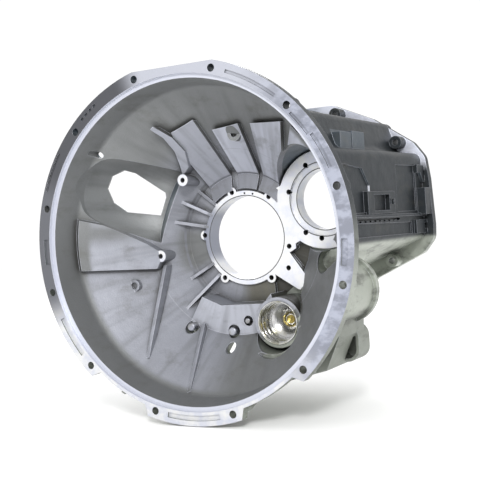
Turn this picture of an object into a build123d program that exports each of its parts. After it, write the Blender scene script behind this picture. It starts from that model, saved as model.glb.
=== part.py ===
"""Clutch bell and gear case of a heavy truck gearbox, cast in one piece of aluminium.

The origin is the centre of the bell's mouth. +X is to the right seen from the engine, +Y runs back
along the input shaft and +Z is up. A spot is an (X, Z) place, and a depth is a distance along +Y.
"""
import os
from math import cos, hypot, radians, sin

from build123d import *

os.makedirs("parts", exist_ok=True)

# How far a cut runs past the face that it opens, or a boss stops short of the face that covers it
margin = 1.0

# Bell flange
bolt_circle = 530.2
bolt_count = 12
bolt_hole = 11.9
first_bolt_angle = 15.0
flange_radius = 277.0
flange_thickness = 17.0
pilot_bore = 511.175
pilot_depth = 6.0
relief_radius = 261.0
relief_angles = (-120.0, -60.0)
relief_half_angle = 10.5
relief_taper = 3.0
nut_pad_radius = 12.0
nut_pad_height = 5.0
face_pocket_depth = 3.0
face_pockets = (
    (262.0, 267.0, 50.2, 69.7), (258.5, 263.0, 33.5, 42.5), (262.5, 268.0, 20.9, 32.8),
    (258.0, 267.0, 176.0, 185.0), (260.0, 268.0, 205.0, 220.0), (258.0, 267.0, -9.3, -1.0),
    (261.0, 269.0, -100.0, -80.0), (269.5, 274.0, 145.0, 159.0),
)
notch_count = 4
notch_pitch = 2.2
notch_width = 1.2
first_notch = 122.7
notch_radii = (266.5, 271.0)

# Bell wall, measured on its inner face
wall = 9.0
mouth_radius = 249.0
corner_radius = 243.0
corner_depth = 55.0
corner_round = 16.0
floor_radius = 115.0
floor_depth = 211.0
back_depth = 236.0

# Ribs on the outside of the bell
outer_rib_angles = (72.0, 96.0, 120.0, 192.0, 216.0, 240.0, 264.0, 288.0)
outer_rib_height = 9.0
outer_rib_thickness = 7.0
outer_rib_end = 150.0

# Bearing wall
hub_bore = 142.0
hub_ring_width = 9.0
machined_height = 6.0
ear_circle = 163.0
ear_radius = 8.5
ear_angles = (106.0, 54.7, -12.8, -58.2, -124.8, 174.5)
tapped_hole = 8.5
tapped_depth = 18.0
oil_hole = 3.5
oil_hole_spots = ((17.3, 73.4), (1.9, 75.5))
counter_spot = (147.0, 56.0)
counter_bore = 100.0
counter_shoulder = 120.0
counter_shoulder_depth = 5.0
counter_plate_radius = 81.0
counter_bolt_circle = 128.0
counter_bolt_angles = (14.0, 63.0, 117.0, 166.0, 236.0, 263.0, 304.0)
pocket_gap = 3.0
plate_web = ((40, 70), (58, 78), (72, 84), (104, -8), (92, -14), (92, -22), (79, -29), (55, -10))
tongue = ((70, -20), (80, -29), (106, -66), (108, -78), (99, -91), (92, -90), (50, -64), (40, -62))
tongue_hole_spot = (76.0, -54.0)
stub_spot = (104.0, -92.0)
stub_radius = 7.0
stub_height = 9.0
lower_pocket = ((80, -29), (104, -7), (118, -14), (112, -42), (103, -58))
tongue_pocket = (
    (66, -40), (107, -62), (111, -78), (111, -95), (101, -116),
    (96, -136), (60, -118), (46, -106), (46, -72),
)
low_floor = 6.0
port_spot = (181.0, -35.0)
port_size = (74.0, 34.0)
port_turn = 28.0
port_depth = 190.0

# Raised pads, the hump beside the trough and the flat shelf below the hub
pad_lift = 8.0
pad_reach = 84.0
pads = (
    ((-11, 60), (22, 60), (49, 183), (-5, 179)),
    ((22, 60), (57, 60), (146, 173), (75, 180)),
    ((50, 60), (166, 164), (225, 100), (120, 20)),
    ((-19, 60), (-27, 196), (-72, 180), (-76, 150), (-56, 50)),
)
ridge_lift = 13.0
ridge = ((-74, 125), (-66, 150), (-72, 172), (-89, 190), (-95, 186), (-84, 172), (-80, 150), (-88, 112))
hump_lift = 12.0
hump = ((-262, 60), (-204, 36), (-159, 0), (-140, -20), (-146, -44), (-262, -36))
shelf_depth = 157.0
shelf = ((-66, -95), (-30, -110), (50, -108), (64, -92), (78, -150), (20, -166), (-40, -160), (-92, -138))
ring_boss_spot = (30.0, 170.0)
ring_boss_radius = 12.0
ring_boss_face = 129.0
ring_boss_hole = 12.0
low_boss_spot = (-175.0, -70.0)
low_boss_radius = 10.0
low_boss_face = 117.0
low_boss_hole = 12.0
ring_boss_depth = 8.0
low_boss_depth = 4.0
drain_spot = (-4.0, -178.0)
drain_hole = 17.0
vent_spot = (-187.0, 153.0)
vent_hole = 11.0
vent_start = 34.0
vent_end = 82.0

# Bore of the steel sleeve
sleeve_spot = (80.0, -138.0)
sleeve_bore = 70.0
sleeve_front = 143.0
sleeve_boss_wall = 6.0
sleeve_pocket_radius = 47.0
sleeve_step_radius = 52.0
sleeve_step_depth = 118.0
sleeve_seat = 228.0
sleeve_seat_radius = 30.0
fit_gap = 0.05

# Turned steel sleeve, as (bore radius, depth where that bore starts), its cap and the brass nozzle
sleeve_steps = ((33.5, 143.0), (32.5, 146.0), (33.2, 153.0), (31.5, 155.0), (32.0, 163.0), (30.0, 165.0))
sleeve_rear_bore = 24.0
cap_recess = 29.0
cap_front = 178.0
cap_seat = 202.0
cap_bowl_radius = 27.5
cap_bowl_curve = 33.0
cap_bowl_floor = 194.0
cap_centre_radius = 9.0
nozzle_radius = 5.0
nozzle_head_radius = 7.0
nozzle_front = 187.0
nozzle_tip_radius = 2.5

# Gallery plugs: spot, radius and depth of the face; the chamfer is a share of the radius
gallery_plugs = (((-8.0, -153.0), 7.0, 149.0), ((20.0, -136.0), 4.5, 153.0), ((-82.0, -144.0), 7.0, 140.0))
gallery_plug_length = 16.0
gallery_plug_chamfer = 0.2
gallery_recess = 4.0
gallery_recess_depth = 6.0

# Trough of the clutch fork and the bosses of its pivot
fork_angle = 154.0
trough_wall = 8.0
trough_sections = (
    (137.0, 173.0, 66.0, 37.0, (0.70, -0.71)),
    (212.0, 88.0, 58.0, 30.0, (0.66, -0.75)),
    (231.0, 22.0, 40.0, 14.5, (0.20, -0.98)),
)
window_turn = 28.6
window_start = 150.0
window_end = 300.0
window = (
    (-134, 99), (-124, 119.5), (-103, 128.5), (-86, 123),
    (-38.5, 87), (-38, 79), (-49.5, 48), (-106, 57), (-127, 75),
)
pivot_radius = 10.0
pivot_face = 154.0
pivot_spots = ((-88.0, 104.0), (-142.0, -23.0))

# Thin ribs on the bell's inner wall: start, end, lift at each end. Their feet reach into a share of the wall
rib_foot = 0.8
long_rib_thickness = 6.0
long_ribs = (
    ((-139, -39), (-128, -186), 14.0, 2.0),
    ((-64, -140), (-42, -237), 11.0, 1.5),
)
hub_rib_thickness = 5.0
hub_rib_lift = 6.0
hub_ribs = (
    ((-50, 55), (-87, 85)), ((-63, 41), (-114, 68)), ((-72, 22), (-130, 34)),
    ((-66, -41), (-109, -66)), ((-55, -60), (-102, -115)),
)

# Gear case
case_front = 12.0
case_back = 400.0
chamber_front = 82.0
case_wall = 9.0
case_corner = 14.0
case_front_corners = (
    (-50, 203), (108, 203), (199, 182), (214, 130), (240, 122), (240, -18),
    (140, -74), (90, -150), (-60, -150), (-85, -60), (-85, 150),
)
case_back_corners = (
    (-70, 206), (108, 206), (199, 182), (214, 132), (256, 125), (256, -18),
    (150, -62), (100, -158), (-100, -158), (-188, -60), (-164, 160),
)
rear_flange_corners = (
    (-78, 227), (98, 227), (173, 194), (244, 146), (263, 120), (268, 82), (272, 2), (271, -22),
    (252, -46), (160, -90), (112, -172), (-112, -172), (-198, -66), (-204, 66), (-162, 176),
)
rear_flange_thickness = 15.0
rear_flange_corner = 22.0
rear_bolt_count = 11
rear_bolt_hole = 11.0
rear_bolt_inset = 12.0
rear_boss_radius = 11.0
rear_boss_length = 26.0
rear_block = ((243, 66), (269, 66), (269, 21), (243, 21))
rear_block_front = 357.0

# Shift cover opening on top of the case
cover_centre = (28.0, 289.0)
cover_opening = (96.0, 104.0)
cover_frame_width = 14.0
cover_frame_height = 7.0
cover_bolt_hole = 8.5
cover_bolt_rows = 3
cover_cut_reach = 4.5

# Details on the side of the case, as (depth, height) outlines on the side wall
side_relief = 3.0
side_recesses = (
    ((58, 102), (129, 96), (154, 70), (154, 29), (58, 29)),
    ((265, 104), (353, 104), (353, 28), (265, 28)),
    ((95, 13), (325, 9), (325, -10), (95, -8)),
)
side_frame = ((135, 61), (243, 61), (243, 26), (135, 26))
side_frame_inside = ((158, 56), (221, 56), (221, 31), (158, 31))
side_frame_height = 5.0
side_plates = (
    ((335, 12), (398, 12), (398, -11), (335, -11)),
    ((352, 106), (398, 104), (398, 76), (380, 76), (366, 92), (352, 92)),
)
side_plate_height = 5.0
side_plate_holes = ((382, 1, 15, 10), (386, 92, 9, 9))
side_rib = ((88, 26), (398, 22.5), (398, 18.5), (88, 22))
slot = ((103, 20), (273, 18), (273, 15), (103, 17))
slot_teeth = 9
slot_tooth = (9.0, 3.0)
slot_depth = 6.0
knob_spot = (229.0, 44.0)
knob_radius = 4.0
knob_height = 10.0
ledge_blocks = ((108.0, 43.0, 153.0), (156.0, 50.0, 156.0))
ledge_block_x = 211.0
ledge_block_width = 22.0
ledge_height = 120.0

# Ear at the side of the bell and the lug below it
side_ear_spot = (208.0, -85.0)
side_ear_radius = 46.0
side_ear_rim_radius = 51.5
side_ear_rim_depth = 124.0
side_ear_back = 134.0
lug_centre = (205.0, -168.0)
lug_size = (39.0, 56.0)
lug_wall = 5.0
lug_front = 125.0
lug_back = 170.0
lug_pocket_depth = 30.0
lug_web_back = 155.0
lug_web = ((118, -196), (139, -214), (200, -198), (222, -150), (224, -118), (170, -118))

machined_depth = floor_depth - machined_height
cone_slope = (floor_depth - corner_depth) / (corner_radius - floor_radius)
cone_length = hypot(floor_depth - corner_depth, corner_radius - floor_radius)
cone_normal = ((floor_depth - corner_depth) / cone_length, (corner_radius - floor_radius) / cone_length)
side_slope = (case_back_corners[4][0] - case_front_corners[4][0]) / (case_back - case_front)
side_wall = Plane(
    origin=(case_front_corners[4][0] - side_slope * case_front, 0, 0),
    x_dir=(side_slope, 1, 0),
    z_dir=(1, -side_slope, 0),
)


def facing_mouth(depth):
    """Plane across the shaft at a depth, seen from the mouth; positive extrusion comes forward."""
    return Plane(origin=(0, depth, 0), x_dir=(1, 0, 0), z_dir=(0, -1, 0))


def beside(spot):
    """Plane through a spot that holds the shaft direction, for profiles of (radius, depth) points."""
    return Plane(origin=(spot[0], 0, spot[1]), x_dir=(1, 0, 0), z_dir=(0, 0, 1))


def polar_spot(radius, angle, centre=(0.0, 0.0)):
    return (centre[0] + radius * cos(radians(angle)), centre[1] + radius * sin(radians(angle)))


def wall_depth(spot, lift=0.0):
    """Depth of the bell's inner wall at a spot, lifted off the wall towards the mouth."""
    cone = corner_depth + (corner_radius - hypot(*spot)) * cone_slope
    return min(cone, floor_depth) - lift


def cone_line(shift):
    """Two ends of the conical wall's profile, moved outwards through the wall by a shift."""
    across, along = cone_normal[0] * shift, cone_normal[1] * shift
    return (corner_radius + across, corner_depth + along), (floor_radius + across, floor_depth + along)


def polygon(points, mode=Mode.ADD):
    with BuildLine() as outline:
        Polyline(*points, close=True)
    make_face(outline.edges(), mode=mode)


def arc_band(inner, outer, start, end, taper=0.0, mode=Mode.ADD):
    """Face between two arcs about the input shaft; the outer arc runs further by a taper at each end."""
    with BuildLine() as outline:
        inside = CenterArc((0, 0), inner, start, end - start)
        outside = CenterArc((0, 0), outer, start - taper, end - start + 2 * taper)
        Line(inside @ 0, outside @ 0)
        Line(inside @ 1, outside @ 1)
    make_face(outline.edges(), mode=mode)


def discs(spots, radius, front, back, mode=Mode.ADD):
    """Round bosses or bores along the shaft direction between two depths."""
    with BuildSketch(facing_mouth(back)) as outline:
        with Locations(*spots):
            Circle(radius)
    extrude(outline.sketch, amount=back - front, mode=mode)


def disc(spot, radius, front, back, mode=Mode.ADD):
    discs([spot], radius, front, back, mode)


def port(length, width, front, back, mode=Mode.ADD):
    """A slot-shaped body at the side port's spot and turn, between two depths."""
    with BuildSketch(facing_mouth(back)) as outline:
        with Locations(port_spot):
            SlotOverall(length, width, rotation=port_turn)
    extrude(outline.sketch, amount=back - front, mode=mode)


def prism(points, front, back, mode=Mode.ADD, round_off=0.0):
    """A polygon of spots carried along the shaft direction between two depths."""
    with BuildSketch(facing_mouth(back)) as outline:
        polygon(points)
        if round_off:
            fillet(outline.vertices(), radius=round_off)
    extrude(outline.sketch, amount=back - front, mode=mode)


def turned(profile, mode=Mode.ADD, rounded=(), radius=0.0, centre=(0.0, 0.0)):
    """A profile of (radius, depth) points turned about the input shaft, or about a spot beside it."""
    with BuildSketch(beside(centre)) as section:
        polygon(profile)
        for point in rounded:
            fillet(section.vertices().sort_by_distance((point[0], point[1], 0))[0], radius=radius)
    revolve(section.sketch, axis=Axis((centre[0], 0, centre[1]), (0, 1, 0)), mode=mode)


def fin(start, end, start_lift, end_lift, thickness):
    """A thin rib that stands on the bell's inner wall and runs from one spot to another."""
    run = (end[0] - start[0], end[1] - start[1])
    length = hypot(*run)
    along = Vector(run[0] / length, 0, run[1] / length)
    plane = Plane(origin=(start[0], 0, start[1]), x_dir=along, z_dir=along.cross(Vector(0, 1, 0)))
    with BuildSketch(plane) as outline:
        polygon((
            (0, wall_depth(start, start_lift)),
            (length, wall_depth(end, end_lift)),
            (length, wall_depth(end) + wall * rib_foot),
            (0, wall_depth(start) + wall * rib_foot),
        ))
    extrude(outline.sketch, amount=thickness / 2, both=True)


def on_wall(outlines, lift):
    """Raised areas that follow the bell's inner wall, each inside its own outline."""
    with BuildPart() as area:
        for outline in outlines:
            prism(outline, 0, back_depth)
        outer_start, outer_end = cone_line(wall / 2)
        inner_start, inner_end = cone_line(-lift)
        turned(
            [outer_start, outer_end, (pad_reach, floor_depth + wall / 2), (pad_reach, floor_depth - lift),
             inner_end, inner_start],
            mode=Mode.INTERSECT,
        )
    return area.part


def trough(extra):
    """Space that the clutch fork swings in, or its outer skin where extra is a wall."""
    away = Vector(cos(radians(fork_angle)), 0, sin(radians(fork_angle)))
    across = Vector(away.Z, 0, -away.X)
    with BuildPart() as space:
        for index, (reach, depth, half_width, half_height, heading) in enumerate(trough_sections):
            normal = away * heading[0] + Vector(0, heading[1], 0)
            start = -extra if index == 0 else 0
            origin = away * reach + Vector(0, depth, 0) + normal * start
            with BuildSketch(Plane(origin=origin, x_dir=across, z_dir=normal)):
                Ellipse(half_width + extra, half_height + extra)
        loft()
    return space.part


def case_section(points, depth, inset=0.0):
    """Outline of the gear case at a depth, moved inwards by an inset."""
    with BuildSketch(facing_mouth(depth)) as section:
        polygon(points)
        if inset:
            offset(amount=-inset, kind=Kind.INTERSECTION)
        fillet(section.vertices(), radius=case_corner)
    return section.sketch


def outer_rib(angle):
    """A rib on the outside of the bell, from the flange back along the conical wall."""
    outward = Vector(cos(radians(angle)), 0, sin(radians(angle)))
    plane = Plane(origin=(0, 0, 0), x_dir=outward, z_dir=outward.cross(Vector(0, 1, 0)))
    low_start, low_end = cone_line(wall / 2)
    high_start, high_end = cone_line(wall + outer_rib_height)
    share = (corner_radius - outer_rib_end) / (corner_radius - floor_radius)
    low_tip = tuple(a + (b - a) * share for a, b in zip(low_start, low_end))
    high_tip = tuple(a + (b - a) * share for a, b in zip(high_start, high_end))
    with BuildSketch(plane) as outline:
        polygon((
            (mouth_radius + wall / 2, flange_thickness / 2),
            (flange_radius - outer_rib_height, flange_thickness / 2),
            (flange_radius - outer_rib_height, flange_thickness + outer_rib_height),
            high_start, high_tip, low_tip, low_start,
        ))
    extrude(outline.sketch, amount=outer_rib_thickness / 2, both=True)


def on_side(outlines, low, high, mode=Mode.ADD):
    """Outlines on the case's side wall, carried between two heights above the wall."""
    with BuildSketch(side_wall.offset(low)) as sketch:
        for points in outlines:
            polygon(points)
    extrude(sketch.sketch, amount=high - low, mode=mode)


def rectangle_points(centre_y, centre_z, width, height):
    corners = ((-1, -1), (1, -1), (1, 1), (-1, 1))
    return [(centre_y + a * width / 2, centre_z + b * height / 2) for a, b in corners]


with BuildPart() as housing:
    # The gear case with its rear flange
    case_start = case_section(case_front_corners, case_front)
    case_end = case_section(case_back_corners, case_back)
    loft([case_start, case_end], ruled=True)
    prism(rear_flange_corners, case_back - rear_flange_thickness, case_back, round_off=rear_flange_corner)
    with BuildSketch(facing_mouth(case_back)) as bolt_line:
        polygon(rear_flange_corners)
        offset(amount=-rear_bolt_inset, kind=Kind.INTERSECTION)
    bolt_wire = bolt_line.sketch.faces()[0].outer_wire()
    rear_bolts = [
        (place.X, place.Z)
        for place in (bolt_wire @ ((index + 0.5) / rear_bolt_count) for index in range(rear_bolt_count))
    ]
    rear_boss_front = case_back - rear_flange_thickness - rear_boss_length
    discs(rear_bolts, rear_boss_radius, rear_boss_front, case_back - margin)
    prism(rear_block, rear_block_front, case_back - margin)

    # Shift cover frame, blocks on the ledge and details of the side wall
    with BuildSketch(Plane.XY.offset(case_back_corners[0][1] + cover_frame_height - wall)):
        with Locations(cover_centre):
            RectangleRounded(*(side + 2 * cover_frame_width for side in cover_opening), cover_frame_width)
    extrude(amount=wall)
    for start, length, top in ledge_blocks:
        with BuildSketch(Plane.XY.offset(ledge_height)):
            with Locations((ledge_block_x, start + length / 2)):
                Rectangle(ledge_block_width, length)
        extrude(amount=top - ledge_height)
    tooth_pitch = (slot[1][0] - slot[0][0]) / slot_teeth
    tooth_starts = [slot[0][0] + tooth_pitch * (index + 0.5) for index in range(slot_teeth)]
    on_side(side_recesses, -side_relief, side_relief, mode=Mode.SUBTRACT)
    on_side([side_frame, side_rib], -case_wall / 2, side_frame_height)
    on_side(side_plates, -case_wall / 2, side_plate_height)
    on_side([side_frame_inside, *(rectangle_points(*hole) for hole in side_plate_holes)],
            -side_relief, side_plate_height, mode=Mode.SUBTRACT)
    on_side([slot, *(rectangle_points(start, slot[2][1], *slot_tooth) for start in tooth_starts)],
            -slot_depth, side_relief, mode=Mode.SUBTRACT)
    with BuildSketch(side_wall):
        with Locations(knob_spot):
            Circle(knob_radius)
    extrude(amount=knob_height)

    # Ribs on the outside of the bell
    for angle in outer_rib_angles:
        outer_rib(angle)

    # The chamber, the cover opening and its tapped holes
    chamber_share = (chamber_front - case_front) / (case_back - case_front)
    chamber_corners = [
        tuple(a + (b - a) * chamber_share for a, b in zip(front, back))
        for front, back in zip(case_front_corners, case_back_corners)
    ]
    chamber_start = case_section(chamber_corners, chamber_front, case_wall)
    chamber_end = case_section(case_back_corners, case_back, case_wall)
    loft([chamber_start, chamber_end], ruled=True, mode=Mode.SUBTRACT)
    with BuildSketch(Plane.XY.offset(case_back_corners[0][1] + cover_frame_height)):
        with Locations(cover_centre):
            RectangleRounded(*cover_opening, cover_frame_width / 2)
            row_pitch = cover_opening[1] / (cover_bolt_rows - 1)
            with GridLocations(cover_opening[0] + cover_frame_width, row_pitch, 2, cover_bolt_rows):
                Circle(cover_bolt_hole / 2)
    extrude(amount=-cover_frame_height - case_wall - cover_cut_reach, mode=Mode.SUBTRACT)

    # Flange
    with BuildSketch(facing_mouth(flange_thickness)):
        Circle(flange_radius)
        flat = flange_radius * cos(radians(first_bolt_angle))
        with Locations((0, flat + flange_radius / 2)):
            Rectangle(2 * flange_radius, flange_radius, mode=Mode.SUBTRACT)
        for angle in relief_angles:
            relief_ends = (angle - relief_half_angle, angle + relief_half_angle)
            arc_band(relief_radius, flange_radius + wall, *relief_ends, relief_taper, mode=Mode.SUBTRACT)
    extrude(amount=flange_thickness)
    with BuildSketch(facing_mouth(flange_thickness + nut_pad_height)):
        with PolarLocations(bolt_circle / 2, bolt_count, start_angle=first_bolt_angle):
            Circle(nut_pad_radius)
    extrude(amount=flange_thickness / 2)

    # Outer skin of the bell, with what it carries behind
    skin_start, skin_end = cone_line(wall)
    turned([(0, flange_thickness / 2), (mouth_radius + wall, flange_thickness / 2), skin_start, skin_end,
            (floor_radius, back_depth), (0, back_depth)])
    disc(counter_spot, counter_plate_radius + pocket_gap + wall, corner_depth, back_depth)
    disc(sleeve_spot, sleeve_step_radius + wall, sleeve_step_depth - wall, back_depth)
    # The side port's backing, which has to be there before the bell is hollowed and the port is cut
    port(port_size[0] + 2 * wall, port_size[1] + 2 * wall, corner_depth + wall, port_depth + wall)
    disc(side_ear_spot, side_ear_radius, flange_thickness / 2, side_ear_back)
    disc(side_ear_spot, side_ear_rim_radius, side_ear_rim_depth, side_ear_back)
    with BuildSketch(facing_mouth(lug_back)):
        with Locations(lug_centre):
            SlotOverall(lug_size[1], lug_size[0], rotation=90)
    extrude(amount=lug_back - lug_front)
    prism(lug_web, corner_depth, lug_web_back)
    add(trough(trough_wall))

    # Space inside the bell
    turned(
        [(0, -margin), (pilot_bore / 2, -margin), (pilot_bore / 2, pilot_depth), (mouth_radius, pilot_depth),
         (corner_radius, corner_depth), (floor_radius, floor_depth), (0, floor_depth)],
        mode=Mode.SUBTRACT,
        rounded=[(corner_radius, corner_depth)],
        radius=corner_round,
    )

    # Raised areas and ribs on the inner wall
    add(on_wall(pads, pad_lift))
    add(on_wall([ridge], ridge_lift))
    add(on_wall([hump], hump_lift))
    for start, end, start_lift, end_lift in long_ribs:
        fin(start, end, start_lift, end_lift, long_rib_thickness)
    for start, end in hub_ribs:
        fin(start, end, hub_rib_lift, 0, hub_rib_thickness)
    disc(ring_boss_spot, ring_boss_radius, ring_boss_face, wall_depth(ring_boss_spot) + wall / 2)
    disc(low_boss_spot, low_boss_radius, low_boss_face, wall_depth(low_boss_spot) + wall / 2)

    # Trough of the clutch fork, its pivot bosses and its window
    add(trough(0), mode=Mode.SUBTRACT)
    across = Vector(cos(radians(window_turn)), sin(radians(window_turn)), 0)
    window_plane = Plane(origin=(0, 0, 0), x_dir=across, z_dir=across.cross(Vector(0, 0, 1)))
    with BuildSketch(window_plane.offset(-window_end)):
        polygon(window)
    extrude(amount=window_end - window_start, mode=Mode.SUBTRACT)
    discs(pivot_spots, pivot_radius, pivot_face, floor_depth - wall)

    # Machined plate round the hub, the countershaft and the tongue
    disc(counter_spot, counter_plate_radius + pocket_gap, corner_depth, floor_depth, mode=Mode.SUBTRACT)
    disc(sleeve_spot, sleeve_step_radius, corner_depth, sleeve_step_depth, mode=Mode.SUBTRACT)
    disc(sleeve_spot, sleeve_pocket_radius, corner_depth, floor_depth, mode=Mode.SUBTRACT)
    prism(tongue_pocket, corner_depth, floor_depth + low_floor, mode=Mode.SUBTRACT)
    prism(lower_pocket, machined_depth, floor_depth + low_floor, mode=Mode.SUBTRACT)
    with BuildSketch(facing_mouth(floor_depth + wall)):
        Circle(hub_bore / 2 + hub_ring_width)
        with Locations(*(polar_spot(ear_circle / 2, angle) for angle in ear_angles)):
            Circle(ear_radius)
        with Locations(counter_spot):
            Circle(counter_plate_radius)
        polygon(plate_web)
        polygon(tongue)
    extrude(amount=floor_depth + wall - machined_depth)
    disc(stub_spot, stub_radius, floor_depth - stub_height, floor_depth + wall)
    prism(shelf, shelf_depth, floor_depth + wall / 2)
    disc(sleeve_spot, sleeve_bore / 2 + sleeve_boss_wall, sleeve_front + pocket_gap, back_depth)

    # Bores, recesses and holes
    bore_front = machined_depth - margin
    bore_back = back_depth + margin
    disc((0, 0), hub_bore / 2, bore_front, bore_back, mode=Mode.SUBTRACT)
    disc(counter_spot, counter_shoulder / 2, bore_front, machined_depth + counter_shoulder_depth,
         mode=Mode.SUBTRACT)
    disc(counter_spot, counter_bore / 2, bore_front, bore_back, mode=Mode.SUBTRACT)
    disc(sleeve_spot, sleeve_bore / 2, sleeve_front - margin, sleeve_seat, mode=Mode.SUBTRACT)
    disc(sleeve_spot, sleeve_seat_radius, sleeve_front - margin, bore_back, mode=Mode.SUBTRACT)
    port(*port_size, corner_depth, port_depth, mode=Mode.SUBTRACT)
    with BuildSketch(facing_mouth(lug_front + lug_pocket_depth)):
        with Locations(lug_centre):
            SlotOverall(lug_size[1] - 2 * lug_wall, lug_size[0] - 2 * lug_wall, rotation=90)
    extrude(amount=lug_pocket_depth + wall, mode=Mode.SUBTRACT)
    tapped = [polar_spot(ear_circle / 2, angle) for angle in ear_angles]
    tapped += [polar_spot(counter_bolt_circle / 2, angle, counter_spot) for angle in counter_bolt_angles]
    tapped.append(tongue_hole_spot)
    with BuildSketch(facing_mouth(machined_depth)):
        with Locations(*tapped):
            Circle(tapped_hole / 2)
        with Locations(*oil_hole_spots):
            Circle(oil_hole / 2)
    extrude(amount=-tapped_depth, mode=Mode.SUBTRACT)
    discs(pivot_spots, tapped_hole / 2, pivot_face - margin, pivot_face + tapped_depth, mode=Mode.SUBTRACT)
    for spot, radius, face in gallery_plugs:
        disc(spot, radius + fit_gap, face - margin, face + gallery_plug_length, mode=Mode.SUBTRACT)
        disc(spot, radius + gallery_recess, corner_depth, face + gallery_recess_depth + wall,
             mode=Mode.SUBTRACT)
    disc(ring_boss_spot, ring_boss_hole / 2, ring_boss_face - margin, ring_boss_face + ring_boss_depth,
         mode=Mode.SUBTRACT)
    disc(low_boss_spot, low_boss_hole / 2, low_boss_face - margin, low_boss_face + low_boss_depth,
         mode=Mode.SUBTRACT)
    disc(drain_spot, drain_hole / 2, corner_depth, back_depth, mode=Mode.SUBTRACT)
    disc(vent_spot, vent_hole / 2, vent_start, vent_end, mode=Mode.SUBTRACT)

    # Flange holes and the shallow marks in its face
    with BuildSketch(facing_mouth(0)):
        with PolarLocations(bolt_circle / 2, bolt_count, start_angle=first_bolt_angle):
            Circle(bolt_hole / 2)
    extrude(amount=-flange_thickness - nut_pad_height - margin, mode=Mode.SUBTRACT)
    with BuildSketch(facing_mouth(0)):
        for inner, outer, start, end in face_pockets:
            arc_band(inner, outer, start, end)
        for index in range(notch_count):
            start = first_notch + index * notch_pitch
            arc_band(*notch_radii, start, start + notch_width)
    extrude(amount=-face_pocket_depth, mode=Mode.SUBTRACT)
    with BuildSketch(facing_mouth(case_back)):
        with Locations(*rear_bolts):
            Circle(rear_bolt_hole / 2)
    extrude(amount=case_back - rear_boss_front + margin, mode=Mode.SUBTRACT)

housing.part.label = "housing"
export_step(housing.part, "parts/housing.step")

with BuildPart() as bearing_sleeve:
    # Stepped bore, polished, with a shoulder that the cap rests on
    outer = sleeve_bore / 2 - fit_gap
    profile = [(outer, sleeve_front), (outer, sleeve_seat)]
    profile += [(sleeve_rear_bore, sleeve_seat), (sleeve_rear_bore, cap_seat)]
    next_start = cap_seat
    for radius, start in ((cap_recess, cap_front), *reversed(sleeve_steps)):
        profile += [(radius, next_start), (radius, start)]
        next_start = start
    turned(profile, centre=sleeve_spot)

bearing_sleeve.part.label = "bearing_sleeve"
export_step(bearing_sleeve.part, "parts/bearing_sleeve.step")

with BuildPart() as sleeve_cap:
    # Bowl-shaped cap with a hole for the nozzle
    cap_radius = cap_recess - fit_gap
    with BuildSketch(beside(sleeve_spot)):
        with BuildLine():
            rim = Polyline((nozzle_radius + fit_gap, cap_seat), (cap_radius, cap_seat),
                           (cap_radius, cap_front), (cap_bowl_radius, cap_front))
            bowl = RadiusArc(rim @ 1, (cap_centre_radius, cap_bowl_floor), cap_bowl_curve)
            Polyline(bowl @ 1, (nozzle_radius + fit_gap, cap_bowl_floor), rim @ 0)
        make_face()
    revolve(axis=Axis((sleeve_spot[0], 0, sleeve_spot[1]), (0, 1, 0)))

sleeve_cap.part.label = "sleeve_cap"
export_step(sleeve_cap.part, "parts/sleeve_cap.step")

with BuildPart() as nozzle:
    turned(
        [(0, nozzle_front), (nozzle_tip_radius, nozzle_front),
         (nozzle_radius, nozzle_front + nozzle_tip_radius),
         (nozzle_head_radius, cap_bowl_floor - nozzle_tip_radius), (nozzle_head_radius, cap_bowl_floor),
         (nozzle_radius, cap_bowl_floor), (nozzle_radius, cap_seat), (0, cap_seat)],
        centre=sleeve_spot,
    )

nozzle.part.label = "nozzle"
export_step(nozzle.part, "parts/nozzle.step")

for index, (spot, radius, face) in enumerate(gallery_plugs):
    chamfered = radius * gallery_plug_chamfer
    with BuildPart() as gallery_plug:
        turned(
            [(0, face), (radius - chamfered, face), (radius, face + chamfered),
             (radius, face + gallery_plug_length), (0, face + gallery_plug_length)],
            centre=spot,
        )
    gallery_plug.part.label = f"gallery_plug_{index + 1}"
    export_step(gallery_plug.part, f"parts/gallery_plug_{index + 1}.step")
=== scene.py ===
"""Gearbox housing: grey cast aluminium with bright machined faces, on a pale studio floor."""

from math import cos, radians, sin

import bpy
from mathutils import Matrix, Vector


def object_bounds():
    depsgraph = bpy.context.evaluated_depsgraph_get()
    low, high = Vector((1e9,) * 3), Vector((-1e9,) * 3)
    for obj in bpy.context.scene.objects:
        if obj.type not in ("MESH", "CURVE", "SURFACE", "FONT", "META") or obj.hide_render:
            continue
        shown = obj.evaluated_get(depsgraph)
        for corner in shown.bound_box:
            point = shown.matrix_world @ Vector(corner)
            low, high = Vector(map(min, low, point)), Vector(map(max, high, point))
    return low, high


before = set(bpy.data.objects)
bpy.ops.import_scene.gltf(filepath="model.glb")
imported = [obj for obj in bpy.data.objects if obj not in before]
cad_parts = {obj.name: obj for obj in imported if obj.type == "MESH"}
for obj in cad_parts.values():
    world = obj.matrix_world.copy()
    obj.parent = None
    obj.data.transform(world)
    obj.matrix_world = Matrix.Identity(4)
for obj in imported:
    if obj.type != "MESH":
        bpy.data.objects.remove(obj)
cad_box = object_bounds()

MM = 0.001

# The shaft's axis as (X, Z), how near to a face's depth a point lies on it, and the samples of slow nodes
SHAFT = (0.0, 0.0)
FACE_SLACK = 0.3
SHADER_SAMPLES = 6

# Tints: what each one multiplies red, green and blue by
WHITE = (1.0, 1.0, 1.0)
NEUTRAL = (0.97, 1.0, 1.01)
LAVENDER = (0.95, 0.98, 1.10)
VIOLET = (0.92, 0.97, 1.16)
SLATE = (0.82, 1.0, 1.18)
OLIVE = (1.0, 1.06, 0.94)
# Brownish tint, for real stains and for painted shade
DIRT_AND_SHADE = (1.06, 1.02, 0.84)
OIL = (1.06, 1.04, 0.84)
THIN_OIL = (1.04, 1.02, 0.90)


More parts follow.
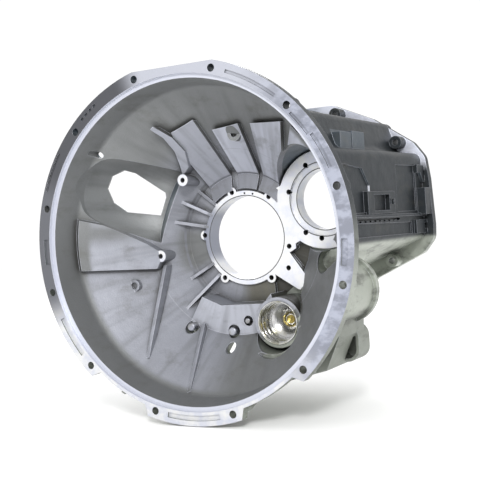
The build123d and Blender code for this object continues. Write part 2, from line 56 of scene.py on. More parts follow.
def grey(level, tint=WHITE):
    """Opaque colour of a level and a tint."""
    return tuple(level * part for part in tint) + (1.0,)


class Graph:
    """Adds shader nodes to a new material and wires them up; lengths are in millimetres."""

    # Where wear with its painted highlight and painted shade in creases start and are full, and the spread
    # and detail of streaks
    edge_wear_and_highlight_ends = (0.985, 0.90)
    crease_shade_ends = (0.85, 0.35)
    streak_turn = 150.0
    streak_detail = 2.0

    def __init__(self, name):
        self.material = bpy.data.materials.new(name)
        self.material.use_nodes = True
        self.tree = self.material.node_tree
        self.shader = self.tree.nodes["Principled BSDF"]
        metres = self.tree.nodes.new("ShaderNodeTexCoord")
        self.position = self.scaled(metres.outputs["Object"], 1.0 / MM)
        self.x, self.y, self.z = self.split(self.position)
        self.facing_x, self.facing_y, self.facing_z = self.split(metres.outputs["Normal"])

    def node(self, kind, **inputs):
        """New node, with its inputs by name."""
        made = self.tree.nodes.new(kind)
        for name, value in inputs.items():
            self.plug(made.inputs[name], value)
        return made

    def plug(self, socket, value):
        """Links a socket to another one, or gives it a plain value."""
        if isinstance(value, bpy.types.NodeSocket):
            self.tree.links.new(value, socket)
        else:
            socket.default_value = value

    def split(self, vector):
        return self.node("ShaderNodeSeparateXYZ", Vector=vector).outputs[:3]

    def scaled(self, vector, factor):
        """Vector or colour times a factor."""
        made = self.tree.nodes.new("ShaderNodeVectorMath")
        made.operation = "SCALE"
        self.plug(made.inputs[0], vector)
        self.plug(made.inputs["Scale"], factor)
        return made.outputs[0]

    def math(self, operation, *values, clamp=False):
        made = self.tree.nodes.new("ShaderNodeMath")
        made.operation = operation
        made.use_clamp = clamp
        for socket, value in zip(made.inputs, values):
            self.plug(socket, value)
        return made.outputs[0]

    def weighted(self, *pairs):
        """Sum of values, each times its weight."""
        total = 0.0
        for value, weight in pairs:
            total = self.math("MULTIPLY_ADD", value, weight, total)
        return total

    def distance(self, spot):
        """Distance from an axis that runs along Y through an (X, Z) spot."""
        across = self.math("SUBTRACT", self.x, spot[0])
        up = self.math("SUBTRACT", self.z, spot[1])
        return self.math("SQRT", self.math("MULTIPLY_ADD", across, across, self.math("MULTIPLY", up, up)))

    def step(self, value, start, end):
        """0 at start, 1 at end, smooth between them; start may be the larger."""
        made = self.tree.nodes.new("ShaderNodeMapRange")
        made.interpolation_type = "SMOOTHSTEP"
        self.plug(made.inputs["Value"], value)
        made.inputs["From Min"].default_value = min(start, end)
        made.inputs["From Max"].default_value = max(start, end)
        rising = made.outputs["Result"]
        return rising if start < end else self.without(rising)

    def sector(self, angle, start, end):
        """1 in a direction from the shaft; start and end are cosines of the angle away from it."""
        along = self.weighted((self.x, cos(radians(angle))), (self.z, sin(radians(angle))))
        return self.step(self.math("DIVIDE", along, self.distance(SHAFT)), start, end)

    def near(self, value, centre, half=FACE_SLACK):
        """1 within a half width of a centre, else 0."""
        return self.math("COMPARE", value, centre, half)

    def within(self, value, low, high):
        """1 between two values, else 0."""
        return self.near(value, (low + high) / 2, (high - low) / 2)

    def above(self, value, limit):
        """1 above a limit, else 0."""
        return self.math("GREATER_THAN", value, limit)

    def below(self, value, limit):
        """1 below a limit, else 0."""
        return self.math("LESS_THAN", value, limit)

    def all(self, *masks):
        result = masks[0]
        for mask in masks[1:]:
            result = self.math("MULTIPLY", result, mask)
        return result

    def any(self, *masks):
        result = masks[0]
        for mask in masks[1:]:
            result = self.math("MAXIMUM", result, mask)
        return result

    def without(self, mask):
        return self.math("SUBTRACT", 1.0, mask, clamp=True)

    def mix(self, mask, first, second):
        """First colour, going over to the second by a mask."""
        made = self.tree.nodes.new("ShaderNodeMix")
        made.data_type = "RGBA"
        self.plug(made.inputs[0], mask)
        self.plug(made.inputs[6], first)
        self.plug(made.inputs[7], second)
        return made.outputs[2]

    def layers(self, colour, *coats):
        """Colour with coats of (mask, colour) over it, one after the other."""
        for mask, coat in coats:
            colour = self.mix(mask, colour, coat)
        return colour

    def blend(self, mask, first, second):
        """As mix, for plain numbers."""
        made = self.tree.nodes.new("ShaderNodeMix")
        made.data_type = "FLOAT"
        self.plug(made.inputs[0], mask)
        self.plug(made.inputs[2], first)
        self.plug(made.inputs[3], second)
        return made.outputs[0]

    def noise(self, size, detail=3.0, roughness=0.55, stretch=(1.0, 1.0, 1.0)):
        """Noise whose patches are about a size across, drawn out along the axes by a stretch."""
        vector = self.node("ShaderNodeMapping", Vector=self.position, Scale=stretch).outputs[0]
        return self.node(
            "ShaderNodeTexNoise", Vector=vector, Scale=1.0 / size, Detail=detail, Roughness=roughness
        ).outputs["Fac"]

    def streaks(self, width, length):
        """Noise drawn out along the radius, about a width across and a length long."""
        turn = self.math("ARCTAN2", self.z, self.x)
        around = self.math("MULTIPLY", turn, self.streak_turn)
        along = self.math("MULTIPLY", self.distance(SHAFT), width / length)
        vector = self.node("ShaderNodeCombineXYZ", X=around, Y=along).outputs[0]
        return self.node(
            "ShaderNodeTexNoise", Vector=vector, Scale=1.0 / width, Detail=self.streak_detail
        ).outputs["Fac"]

    def bump(self, height, distance, strength, normal):
        return self.node(
            "ShaderNodeBump", Height=height, Distance=distance * MM, Strength=strength, Normal=normal
        ).outputs[0]

    def rounded(self, radius):
        """Normal that rounds the sharp edges off by a radius."""
        made = self.node("ShaderNodeBevel", Radius=radius * MM)
        made.samples = SHADER_SAMPLES
        return made.outputs[0]

    def edge_wear_and_highlight(self, rounded_normal):
        """1 on sharp edges, where the rounded normal leaves the flat one; it places rubbed wear with a
        painted highlight.
        """
        alignment = self.tree.nodes.new("ShaderNodeVectorMath")
        alignment.operation = "DOT_PRODUCT"
        self.plug(alignment.inputs[0], rounded_normal)
        self.plug(alignment.inputs[1], self.node("ShaderNodeNewGeometry").outputs["Normal"])
        return self.step(alignment.outputs["Value"], *self.edge_wear_and_highlight_ends)

    def crease_shade(self, reach):
        """1 deep in a corner, 0 on open surfaces; it places painted shade."""
        made = self.node("ShaderNodeAmbientOcclusion", Distance=reach * MM)
        made.samples = SHADER_SAMPLES
        return self.step(made.outputs["AO"], *self.crease_shade_ends)

    def wired(self, colour, metallic, roughness, normal):
        """The material, with the shader's inputs plugged."""
        self.plug(self.shader.inputs["Base Color"], colour)
        self.plug(self.shader.inputs["Metallic"], metallic)
        self.plug(self.shader.inputs["Roughness"], roughness)
        self.plug(self.shader.inputs["Normal"], normal)
        return self.material


# Depths of faces, spots and radii of bores, and the directions that machined faces look in
MOUTH_DEPTH = 0.0
MARK_DEPTH = 3.0
PIVOT_DEPTH = 154.0
PLATE_DEPTH = 205.0
SHOULDER_DEPTH = 210.0
REAR_DEPTH = 400.0
COVER_HEIGHT = 213.0
HUB_RADIUS = 71.0
HUB_BORE_LEAD = 1.0
COUNTER_SPOT = (147.0, 56.0)
COUNTER_RADII = (50.0, 60.0)
PILOT_SPAN = (249.0, 255.9)
PILOT_DEPTH = 6.2
FORWARD = (-0.994, -0.998)
NEARLY_FORWARD = (-0.9, -0.97)
BACKWARD = (0.8, 0.9)
UPWARD = (0.9, 0.97)


def machined_masks(g, radius):
    """Masks of the flange's face, of the bright faces and bores, of the pilot and of the far faces."""
    forward = g.step(g.facing_y, *FORWARD)
    marks = g.all(g.near(g.y, MARK_DEPTH), g.above(radius, PILOT_SPAN[1]))
    flange_face = g.all(g.any(g.near(g.y, MOUTH_DEPTH), marks), forward)
    depths = (PLATE_DEPTH, SHOULDER_DEPTH, PIVOT_DEPTH)
    faces = g.all(g.any(*(g.near(g.y, depth) for depth in depths)), forward)
    hub_bore = g.all(g.near(radius, HUB_RADIUS), g.above(g.y, PLATE_DEPTH - HUB_BORE_LEAD))
    counter = g.distance(COUNTER_SPOT)
    counter_bore = g.any(*(g.near(counter, bore) for bore in COUNTER_RADII))
    pilot = g.all(g.below(g.y, PILOT_DEPTH), g.within(radius, *PILOT_SPAN))
    rear_face = g.near(g.y, REAR_DEPTH)
    cover_face = g.all(g.near(g.z, COVER_HEIGHT), g.step(g.facing_z, *UPWARD))
    return flange_face, g.any(faces, hub_bore, counter_bore), pilot, g.any(rear_face, cover_face)


# Trough of the clutch fork: its angle about the shaft, and the two ends of its middle line as (reach, depth)
FORK_ANGLE = 154.0
TROUGH_ENDS = ((137.0, 173.0), (231.0, 22.0))
TROUGH_HALF_WIDTH = 74.0

# Inner face of the bell's wall: a short skirt, then a cone down to the floor
CORNER_RADIUS = 243.0
CORNER_DEPTH = 55.0
FLOOR_RADIUS = 115.0
FLOOR_DEPTH = 211.0

# Lines in the middle of the wall, which part inside from outside: their lean and their offset outwards
SKIRT_LEAN = -0.12
SKIRT_OFFSET = 10.5
CONE_OFFSET = 5.76
MOUTH_SLACK = 0.5


def trough_mask(g):
    """1 on the walls of the clutch fork's space, whose normals point at its middle line."""
    away = (cos(radians(FORK_ANGLE)), sin(radians(FORK_ANGLE)))
    (start_reach, start_depth), (end_reach, end_depth) = TROUGH_ENDS
    run = (end_reach - start_reach, end_depth - start_depth)
    length = (run[0] ** 2 + run[1] ** 2) ** 0.5
    beside = (-run[1] / length, run[0] / length)
    reach = g.weighted((g.x, away[0]), (g.z, away[1]))
    across = g.weighted((g.x, away[1]), (g.z, -away[0]))
    offset = g.weighted((reach, beside[0]), (g.y, beside[1]))
    offset = g.math("SUBTRACT", offset, start_reach * beside[0] + start_depth * beside[1])
    facing_away = g.weighted((g.facing_x, away[0]), (g.facing_z, away[1]))
    facing_offset = g.weighted((facing_away, beside[0]), (g.facing_y, beside[1]))
    facing_across = g.weighted((g.facing_x, away[1]), (g.facing_z, -away[0]))
    leaving = g.weighted((offset, facing_offset), (across, facing_across))
    beside_middle = g.near(across, 0.0, TROUGH_HALF_WIDTH)
    return g.all(beside_middle, g.above(reach, FLOOR_RADIUS), g.below(leaving, 0.0))


def bell_masks(g, radius):
    """How far a point stands off the bell's wall, and masks of the trough and of the outside."""
    slope = (FLOOR_DEPTH - CORNER_DEPTH) / (CORNER_RADIUS - FLOOR_RADIUS)
    cone_depth = g.math("MULTIPLY_ADD", radius, -slope, CORNER_DEPTH + slope * CORNER_RADIUS)
    lift = g.math("SUBTRACT", g.math("MINIMUM", cone_depth, FLOOR_DEPTH), g.y)

    skirt_line = g.math("MULTIPLY_ADD", g.y, SKIRT_LEAN, CORNER_RADIUS + SKIRT_OFFSET)
    cone_start = CORNER_RADIUS + CORNER_DEPTH / slope + CONE_OFFSET
    cone_line = g.math("MULTIPLY_ADD", g.y, -1.0 / slope, cone_start)
    wall_line = g.math("MINIMUM", skirt_line, cone_line)
    past_wall = g.all(g.above(radius, wall_line), g.above(g.y, MOUTH_SLACK))
    trough = g.all(past_wall, trough_mask(g))
    rear_side = g.all(g.step(g.facing_y, *BACKWARD), g.above(g.y, FLOOR_DEPTH))
    return lift, trough, g.any(g.all(past_wall, g.without(trough)), rear_side)


# Inside the bell. Here and below, a pair of heights (Z), depths (Y), sides (X) or radii says where a
# tone starts and where it is full, a span is sharp at both ends, and a sector is an angle in degrees
# with its two cosines.
# Painted shade: the skirt is darker low than high
SKIRT_LOW = grey(0.17, NEUTRAL)
SKIRT_HIGH = grey(0.24, NEUTRAL)
SKIRT_HEIGHTS = (-60.0, 120.0)
PAST_CORNER_DEPTHS = (57.0, 68.0)

# Painted light: the lower left of the cone is lighter, as it faces the light
LIT_LOWER_LEFT = grey(0.31, LAVENDER)
LOWER_LEFT_HEIGHTS = (40.0, -30.0)
LOWER_LEFT_SIDES = (40.0, -50.0)
AROUND_HUB = grey(0.34, LAVENDER)
AROUND_HUB_RADII = (190.0, 150.0)
AROUND_HUB_HEIGHTS = (-40.0, 20.0)

# Painted light: raised faces that look forward are lighter, the hump and each pad by how it is lit
RAISED_LIFT = (7.0, 10.5)
RAISED_FACING = (-0.45, -0.60)
LIT_HUMP = grey(0.38, LAVENDER)
HUMP_HEIGHTS = (20.0, -10.0)
PAD_HEIGHTS = (20.0, 60.0)
LIT_LEFT_PAD = grey(0.43, LAVENDER)
LIT_MIDDLE_PAD = grey(0.64, LAVENDER)
MIDDLE_PAD_SIDES = (-19.0, -12.0)
LIT_RIGHT_PAD = grey(0.62, LAVENDER)
RIGHT_PAD_SIDES = (12.0, 22.0)
RIGHT_PAD_LEAN = -0.2
# Painted shade on the flat ring at the foot of the pads
PAD_FOOT_SHADE = grey(0.24, LAVENDER)
PAD_FOOT_SPAN = (202.5, 206.0)

# Painted shade left of the hub
SHADE_LEFT_OF_HUB = grey(0.19, NEUTRAL)
LEFT_OF_HUB_SECTOR = (188.0, 0.93, 0.98)
LEFT_OF_HUB_OUTER_RADII = (140.0, 118.0)
LEFT_OF_HUB_INNER_RADII = (76.0, 84.0)
# Below the hub, behind the plate: oily dirt and painted shade
GRIME_AND_SHADE_BELOW_HUB = grey(0.13, DIRT_AND_SHADE)
BELOW_HUB_SECTOR = (-66.0, 0.80, 0.95)
BELOW_HUB_RADII = (118.0, 110.0)
RING_BOSS = grey(0.24, NEUTRAL)
RING_BOSS_SPOT = (30.0, 170.0)
RING_BOSS_RADIUS = 12.2

SLEEVE_SPOT = (80.0, -138.0)
SLEEVE_BOSS_EDGE = 40.5
# Painted shade in the pocket by the sleeve's boss
SLEEVE_POCKET_SHADE = grey(0.05, DIRT_AND_SHADE)
SLEEVE_POCKET_RADII = (52.5, 49.5)
SLEEVE_POCKET_DEPTHS = (148.0, 160.0)
SLEEVE_POCKET_HEIGHTS = (-128.0, -116.0)

# Painted light: the flat shelf, which faces forward, is lighter
LIT_SHELF = grey(0.45, LAVENDER)
SHELF_DEPTH = 157.0
TROUGH_LOW = grey(0.30, NEUTRAL)
TROUGH_HIGH = grey(0.24, NEUTRAL)
TROUGH_HEIGHTS = (90.0, 130.0)
# Painted shade on the sunk floor under the tongue
SUNK_FLOOR_SHADE = grey(0.045, DIRT_AND_SHADE)
SUNK_FLOOR_DEPTHS = (FLOOR_DEPTH + 1.0, FLOOR_DEPTH + 4.0)


def inner_skin(g, radius, lift, trough, outside):
    """Cast skin inside the bell: a skirt painted darker towards the bottom, painted light on the lower left,
    the raised pads and the shelf, and painted shade in pockets, at the pads' foot and beside the hub.
    """
    past_corner = g.step(g.y, *PAST_CORNER_DEPTHS)
    lit_lower_left = g.all(past_corner, g.step(g.z, *LOWER_LEFT_HEIGHTS), g.step(g.x, *LOWER_LEFT_SIDES))
    around_hub = g.all(g.step(radius, *AROUND_HUB_RADII), g.step(g.z, *AROUND_HUB_HEIGHTS))
    raised = g.all(g.step(lift, *RAISED_LIFT), g.step(g.facing_y, *RAISED_FACING), past_corner)
    right_pad = g.step(g.weighted((g.x, 1.0), (g.z, RIGHT_PAD_LEAN)), *RIGHT_PAD_SIDES)
    lit_pads = g.layers(LIT_LEFT_PAD, (g.step(g.x, *MIDDLE_PAD_SIDES), LIT_MIDDLE_PAD), (right_pad, LIT_RIGHT_PAD))
    shade_left_of_hub = g.all(
        g.sector(*LEFT_OF_HUB_SECTOR),
        g.step(radius, *LEFT_OF_HUB_OUTER_RADII),
        g.step(radius, *LEFT_OF_HUB_INNER_RADII),
    )
    grime_and_shade_below_hub = g.all(
        g.sector(*BELOW_HUB_SECTOR), g.step(radius, *BELOW_HUB_RADII), g.above(g.y, PLATE_DEPTH)
    )
    from_sleeve = g.distance(SLEEVE_SPOT)
    above_sleeve = g.all(g.step(g.z, *SLEEVE_POCKET_HEIGHTS), g.above(from_sleeve, SLEEVE_BOSS_EDGE))
    pocket_shade = g.all(
        g.step(from_sleeve, *SLEEVE_POCKET_RADII),
        g.any(g.step(g.y, *SLEEVE_POCKET_DEPTHS), above_sleeve),
    )

    return g.layers(
        # painted shade: the skirt darker towards the bottom
        g.mix(g.step(g.z, *SKIRT_HEIGHTS), SKIRT_LOW, SKIRT_HIGH),
        # painted light on the lower left of the cone
        (lit_lower_left, LIT_LOWER_LEFT),
        (around_hub, AROUND_HUB),
        # painted light on the raised hump and pads
        (g.all(raised, g.step(g.z, *HUMP_HEIGHTS)), LIT_HUMP),
        (g.all(raised, g.step(g.z, *PAD_HEIGHTS)), lit_pads),
        # painted shade left of the hub
        (shade_left_of_hub, SHADE_LEFT_OF_HUB),
        # painted shade at the pads' foot
        (g.within(g.y, *PAD_FOOT_SPAN), PAD_FOOT_SHADE),
        (g.below(g.distance(RING_BOSS_SPOT), RING_BOSS_RADIUS), RING_BOSS),
        # oily dirt and painted shade below the hub
        (grime_and_shade_below_hub, GRIME_AND_SHADE_BELOW_HUB),
        # painted shade in the sleeve's pocket
        (pocket_shade, SLEEVE_POCKET_SHADE),
        # painted light on the shelf
        (g.near(g.y, SHELF_DEPTH), LIT_SHELF),
        (trough, g.mix(g.step(g.z, *TROUGH_HEIGHTS), TROUGH_LOW, TROUGH_HIGH)),
        # painted shade on the sunk floor
        (g.all(g.step(g.y, *SUNK_FLOOR_DEPTHS), g.without(outside)), SUNK_FLOOR_SHADE),
    )


# Outside of the bell and the case
CASE_SKIN = grey(0.030, SLATE)
LEDGE_BLOCK = grey(0.10, SLATE)
LEDGE_BLOCK_SPANS = ((200.0, 224.0), (106.0, 208.0), (121.0, 158.0))
# Painted light: the rear flange's front face is light where it is lit
LIT_REAR_FLANGE = grey(0.75, LAVENDER)
REAR_FLANGE_FRONT = 385.0
REAR_FLANGE_HEIGHTS = (95.0, 115.0)

# The lower side is olive grey, lightened by painted light from the floor; faces that look down are lighter
# still
LOWER_SIDE = grey(0.38, OLIVE)
LIT_UNDERSIDE = grey(0.44, OLIVE)
UNDERSIDE_FACING = (-0.35, -0.65)
LUG = grey(0.25, OLIVE)
LUG_HEIGHTS = (-105.0, -125.0)
LUG_SIDES = (120.0, 150.0)
LOWER_STAIN = grey(0.16, OLIVE)
LOWER_STAIN_ENDS = (0.48, 0.66)
LOWER_STAIN_SHARE = 0.7

# The lower edge of the case parts the two sharply, and on the flange's rim they run together
BEHIND_FLANGE_DEPTHS = (18.0, 26.0)
RIM_HEIGHTS = (60.0, -90.0)
CASE_EDGE_HEIGHTS = (-12.0, -22.0)

# Plain skin: the left half, the chamber's inside, which looks at its middle line, and the bell's back
PLAIN_HIGH = grey(0.15, SLATE)
PLAIN_LOW = grey(0.26, OLIVE)
PLAIN_HEIGHTS = (120.0, -160.0)
PLAIN_SIDES = (110.0, 10.0)
CHAMBER_MIDDLE = (40.0, 25.0)
CHAMBER_FRONT = 82.0
CHAMBER_INWARD = (-10.0, -30.0)
BELL_BACK_SPAN = (180.0, 250.0)


def outer_skin(g, smudge):
    """Slate on top and at the right of the case, olive grey below it, lighter with painted light from the
    floor on faces that look down, plain grey elsewhere.
    """
    ledge_block = g.all(*(g.within(value, *span) for value, span in zip((g.x, g.y, g.z), LEDGE_BLOCK_SPANS)))
    lit_rear_flange = g.all(g.near(g.y, REAR_FLANGE_FRONT), g.step(g.z, *REAR_FLANGE_HEIGHTS))
    # painted light on the rear flange's front face
    upper = g.layers(CASE_SKIN, (ledge_block, LEDGE_BLOCK), (lit_rear_flange, LIT_REAR_FLANGE))

    stained = g.math("MULTIPLY", g.step(smudge, *LOWER_STAIN_ENDS), LOWER_STAIN_SHARE)
    lower = g.layers(
        LOWER_SIDE,
        # painted light from the floor on faces that look down
        (g.step(g.facing_z, *UNDERSIDE_FACING), LIT_UNDERSIDE),
        (g.all(g.step(g.z, *LUG_HEIGHTS), g.step(g.x, *LUG_SIDES)), LUG),
        (stained, LOWER_STAIN),
    )
    low = g.blend(
        g.step(g.y, *BEHIND_FLANGE_DEPTHS), g.step(g.z, *RIM_HEIGHTS), g.step(g.z, *CASE_EDGE_HEIGHTS)
    )

    outward = g.weighted(
        (g.facing_x, g.math("SUBTRACT", g.x, CHAMBER_MIDDLE[0])),
        (g.facing_z, g.math("SUBTRACT", g.z, CHAMBER_MIDDLE[1])),
    )
    chamber = g.all(g.above(g.y, CHAMBER_FRONT), g.step(outward, *CHAMBER_INWARD))
    bell_back = g.all(g.step(g.facing_y, *BACKWARD), g.within(g.y, *BELL_BACK_SPAN))
    plain = g.any(g.step(g.x, *PLAIN_SIDES), chamber, bell_back)
    plain_skin = g.mix(g.step(g.z, *PLAIN_HEIGHTS), PLAIN_HIGH, PLAIN_LOW)
    return g.layers(upper, (low, lower), (plain, plain_skin))


# Machined metal: the ends are those of the mottle or smudge that goes from one tone to the other
PLATE = (grey(0.80), grey(0.72, LAVENDER))
PLATE_ENDS = (0.35, 0.7)
# Painted shade on the left side of the hub's ring
HUB_RING_LEFT_SHADE = grey(0.30, VIOLET)
HUB_RING_LEFT_SECTOR = (172.0, 0.70, 0.92)
HUB_RING_SPAN = (68.0, 84.0)
PILOT = grey(0.55, LAVENDER)
FAR_FACES = grey(0.46, LAVENDER)
# Painted shade: a thin dark ring at the edges of the hub and counter bores, where a chamfer would be in
# shade
EDGE_BREAK = 0.8
EDGE_BREAK_SHADE = grey(0.10, NEUTRAL)

FLANGE = (grey(0.62), grey(0.52, LAVENDER))
FLANGE_ENDS = (0.35, 0.65)
# Painted reflections on the flat flange: darker at the top, the left and the upper left, violet grey at the
# right
FLANGE_TOP = grey(0.42, LAVENDER)
FLANGE_TOP_HEIGHTS = (60.0, 220.0)
FLANGE_RIGHT = (grey(0.22, VIOLET), grey(0.36, VIOLET))
FLANGE_RIGHT_ENDS = (0.42, 0.60)
FLANGE_RIGHT_SECTOR = (4.0, 0.45, 0.80)
FLANGE_LEFT = grey(0.12, LAVENDER)
FLANGE_LEFT_SECTOR = (158.0, 0.62, 0.80)
FLANGE_UPPER_LEFT = grey(0.07, LAVENDER)
FLANGE_UPPER_LEFT_SECTOR = (132.0, 0.86, 0.95)


def machined_metal(g, radius, masks, mottle, smudge):
    """Bright plate and bores; the flange's face has painted reflections: dark at its upper left and top,
    violet grey at its right.
    """
    flange_face, _, pilot, far_faces = masks
    flange = g.layers(
        g.mix(g.step(mottle, *FLANGE_ENDS), *FLANGE),
        # painted reflections on the flange's face
        (g.step(g.z, *FLANGE_TOP_HEIGHTS), FLANGE_TOP),
        (g.sector(*FLANGE_RIGHT_SECTOR), g.mix(g.step(smudge, *FLANGE_RIGHT_ENDS), *FLANGE_RIGHT)),
        (g.sector(*FLANGE_LEFT_SECTOR), FLANGE_LEFT),
        (g.sector(*FLANGE_UPPER_LEFT_SECTOR), FLANGE_UPPER_LEFT),
    )
    # painted shade rings at the bore edges
    break_shades = [g.near(radius, HUB_RADIUS + EDGE_BREAK, EDGE_BREAK)]
    break_shades += [g.near(g.distance(COUNTER_SPOT), bore + EDGE_BREAK, EDGE_BREAK) for bore in COUNTER_RADII]
    return g.layers(
        g.mix(g.step(mottle, *PLATE_ENDS), *PLATE),
        # painted shade on the hub ring's left side
        (g.all(g.sector(*HUB_RING_LEFT_SECTOR), g.within(radius, *HUB_RING_SPAN)), HUB_RING_LEFT_SHADE),
        (flange_face, flange),
        (pilot, PILOT),
        (far_faces, FAR_FACES),
        # painted shade at the bore edges
        (g.all(g.any(*break_shades), g.step(g.facing_y, *NEARLY_FORWARD)), EDGE_BREAK_SHADE),
    )


# Unevenness of the cast skin, as (size, detail, roughness)
TONE_NOISE = (95.0, 3.0, 0.55)
MOTTLE_NOISE = (20.0, 4.0, 0.6)
GRAIN_NOISE = (1.7, 2.0, 0.5)
SMUDGE_NOISE = (38.0, 5.0, 0.65)
SMUDGE_STRETCH = (1.0, 0.5, 1.6)
TONE_LEVELS = (0.82, 1.16)

# Dirt, painted shade in creases, and wear with a painted highlight on edges; the shares in pairs are those
# inside and outside
STAIN = grey(0.09, DIRT_AND_SHADE)
STAIN_ENDS = (0.50, 0.76)
STAIN_SHARE = 0.38
STREAK = grey(0.12, NEUTRAL)
STREAK_SIZE = (14.0, 110.0)
STREAK_ENDS = (0.42, 0.78)
STREAK_SHARE = 0.40
# Painted shade in creases and corners, darkest where they are deepest
CREASE_SHADE = grey(0.035, DIRT_AND_SHADE)
CREASE_REACH = 26.0
CREASE_SHARES = (0.75, 0.22)
# Rubbed edges, lightened also as a painted highlight
EDGE_WEAR_AND_HIGHLIGHT = grey(0.80, LAVENDER)
EDGE_WEAR_AND_HIGHLIGHT_SHARES = (0.55, 0.24)
UNMARKED_CORNER_HALF = 4.0

# Surface of the cast skin, inside and outside, and of the machined metal
CAST_METALLIC = (0.40, 0.70)
CAST_ROUGHNESS = (0.34, 0.58)
MACHINED_METALLIC = 0.35
MACHINED_ROUGHNESS = (0.28, 0.40)
MACHINED_PEBBLE = 0.05
MOTTLE_HEIGHT = 0.7
GRAIN_HEIGHT = 0.25
PEBBLE_HEIGHT = 1.2
PEBBLE_STRENGTH = 0.8
CAST_ROUNDING = 1.2


def cast_aluminium():
    """Sand-cast skin with stains, painted shade in creases and rubbed edges with a painted highlight, and
    machined faces and bores.
    """
    g = Graph("cast_aluminium")
    radius = g.distance(SHAFT)
    masks = machined_masks(g, radius)
    machined = g.any(*masks)
    lift, trough, outside = bell_masks(g, radius)
    inside = g.without(outside)

    tone = g.noise(*TONE_NOISE)
    mottle = g.noise(*MOTTLE_NOISE)
    grain = g.noise(*GRAIN_NOISE)
    smudge = g.noise(*SMUDGE_NOISE, stretch=SMUDGE_STRETCH)
    edge = g.rounded(CAST_ROUNDING)

    # Where dirt lies and where edges are rubbed and painted with a highlight; the corner at the floor gets
    # neither
    drawn = g.all(g.step(g.streaks(*STREAK_SIZE), *STREAK_ENDS), g.step(g.y, *PAST_CORNER_DEPTHS), inside)
    floor_corner = g.all(g.near(radius, FLOOR_RADIUS, UNMARKED_CORNER_HALF), g.above(g.y, PLATE_DEPTH))
    wear_and_highlight = g.all(g.edge_wear_and_highlight(edge), g.without(floor_corner))
    cast = g.layers(
        g.mix(outside, inner_skin(g, radius, lift, trough, outside), outer_skin(g, smudge)),
        (g.math("MULTIPLY", g.step(smudge, *STAIN_ENDS), STAIN_SHARE), STAIN),
        (g.math("MULTIPLY", drawn, STREAK_SHARE), STREAK),
        # painted shade in creases
        (g.all(g.crease_shade(CREASE_REACH), g.blend(outside, *CREASE_SHARES)), CREASE_SHADE),
        # rubbed wear with a painted highlight on sharp edges
        (g.all(wear_and_highlight, g.blend(outside, *EDGE_WEAR_AND_HIGHLIGHT_SHARES)), EDGE_WEAR_AND_HIGHLIGHT),
    )
    cast = g.scaled(cast, g.blend(tone, *TONE_LEVELS))

    pebble = g.weighted((mottle, MOTTLE_HEIGHT), (grain, GRAIN_HEIGHT))
    pebble = g.math("MULTIPLY", pebble, g.blend(machined, 1.0, MACHINED_PEBBLE))
    cast_roughness = g.blend(mottle, *CAST_ROUGHNESS)
    return g.wired(
        colour=g.mix(machined, cast, machined_metal(g, radius, masks, mottle, smudge)),
        metallic=g.blend(machined, g.blend(outside, *CAST_METALLIC), MACHINED_METALLIC),
        roughness=g.blend(machined, cast_roughness, g.blend(mottle, *MACHINED_ROUGHNESS)),
        normal=g.bump(pebble, PEBBLE_HEIGHT, PEBBLE_STRENGTH, edge),
    )


# Turned pieces, as (clean, oily)
SLEEVE_STEEL = (grey(0.62), grey(0.34, OIL))
CAP_STEEL = (grey(0.46), grey(0.36, THIN_OIL))
BRASS = ((0.82, 0.66, 0.20, 1.0), (0.66, 0.50, 0.16, 1.0))
PLUG_STEEL = (grey(0.50, LAVENDER), grey(0.34))
FILM_SIZE = 16.0
FILM_ENDS = (0.4, 0.65)
FILM_ROUGHNESS = 0.12
RING_SCALE = 0.16
RING_DISTORTION = 0.4
RING_HEIGHT = 0.1
RING_STRENGTH = 0.4
TURNED_ROUNDING = 0.6


def turned_metal(name, colours, roughness):
    """Lathe-turned metal: fine rings along the shaft's direction and a faint film of oil."""
    g = Graph(name)
    film = g.noise(FILM_SIZE)
    ring = g.node("ShaderNodeTexWave", Vector=g.position, Scale=RING_SCALE, Distortion=RING_DISTORTION)
    ring.bands_direction = "Y"
    return g.wired(
        colour=g.mix(g.step(film, *FILM_ENDS), *colours),
        metallic=1.0,
        roughness=g.blend(film, roughness, roughness + FILM_ROUGHNESS),
        normal=g.bump(ring.outputs["Fac"], RING_HEIGHT, RING_STRENGTH, g.rounded(TURNED_ROUNDING)),
    )


def dress():
    """Gives each piece its one material; the three plugs share theirs."""
    finishes = {
        "housing": cast_aluminium(),
        "bearing_sleeve": turned_metal("polished_steel", SLEEVE_STEEL, roughness=0.14),
        "sleeve_cap": turned_metal("cap_steel", CAP_STEEL, roughness=0.22),
        "nozzle": turned_metal("brass", BRASS, roughness=0.2),
    }
    plug = turned_metal("plug_steel", PLUG_STEEL, roughness=0.34)
    for name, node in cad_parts.items():
        node.data.materials.clear()
        node.data.materials.append(finishes.get(name, plug))


# Studio: lengths in metres, apart from the floor's gap and noise
FLOOR_GAP = 1.0
FLOOR_REACH = 6.0
FLOOR_TONES = (grey(0.94), grey(0.97))
FLOOR_NOISE_SIZE = 300.0
FLOOR_ROUGHNESS = 0.7
ROOM_STRENGTH = 1.05
AIM = (0.0, 0.1, 0.0)


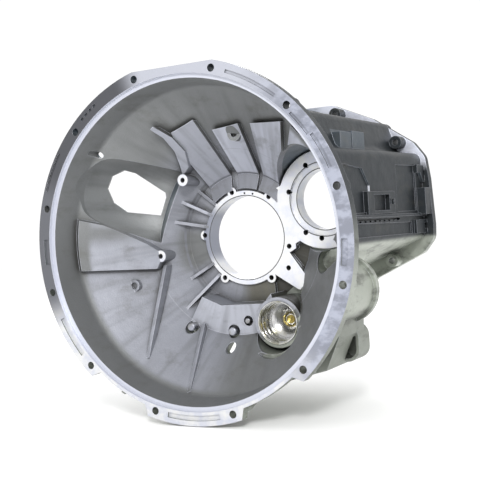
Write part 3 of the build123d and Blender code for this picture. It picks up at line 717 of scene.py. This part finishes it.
def add_floor():
    """Pale floor just under the lowest point."""
    ground = cad_box[0][2] - FLOOR_GAP * MM
    square = ((-1, -1), (1, -1), (1, 1), (-1, 1))
    corners = [(x * FLOOR_REACH, y * FLOOR_REACH, ground) for x, y in square]
    floor_mesh = bpy.data.meshes.new("floor")
    floor_mesh.from_pydata(corners, [], [(0, 1, 2, 3)])
    floor = bpy.data.objects.new("floor", floor_mesh)
    bpy.context.scene.collection.objects.link(floor)
    g = Graph("pale_floor")
    g.plug(g.shader.inputs["Base Color"], g.mix(g.noise(FLOOR_NOISE_SIZE), *FLOOR_TONES))
    g.plug(g.shader.inputs["Roughness"], FLOOR_ROUGHNESS)
    floor_mesh.materials.append(g.material)


def add_light(name, place, size, power):
    """Square area light that looks at the middle of the part."""
    light = bpy.data.lights.new(name, "AREA")
    light.shape = "RECTANGLE"
    light.size = light.size_y = size
    light.energy = power
    holder = bpy.data.objects.new(name, light)
    holder.location = place
    holder.rotation_euler = (Vector(AIM) - Vector(place)).to_track_quat("-Z", "Y").to_euler()
    bpy.context.scene.collection.objects.link(holder)


def studio():
    """Floor, a white room and two soft lights."""
    add_floor()
    world = bpy.data.worlds.new("studio")
    world.use_nodes = True
    background = world.node_tree.nodes["Background"]
    background.inputs["Color"].default_value = grey(1.0)
    background.inputs["Strength"].default_value = ROOM_STRENGTH
    bpy.context.scene.world = world
    bpy.context.scene.view_settings.view_transform = "Standard"
    add_light("key", place=(1.1, -2.0, 1.15), size=0.5, power=50.0)
    add_light("back", place=(-1.2, 2.4, 1.4), size=1.0, power=25.0)


def photo_camera():
    """The camera that the photograph was taken with, solved from the twelve flange holes."""
    right = Vector((0.8766, 0.4769, -0.0641))
    forward = Vector((-0.4788, 0.8777, -0.0187))
    turn = Matrix((right, right.cross(forward), -forward)).transposed().to_4x4()
    turn.translation = Vector((0.7566, -1.2045, 0.0266))
    lens = bpy.data.cameras.new("photo_camera")
    lens.sensor_width = 36.0
    lens.lens = 70.65
    camera = bpy.data.objects.new("photo_camera", lens)
    camera.matrix_world = turn
    bpy.context.scene.collection.objects.link(camera)
    bpy.context.scene.camera = camera


photo_camera()
dress()
studio()
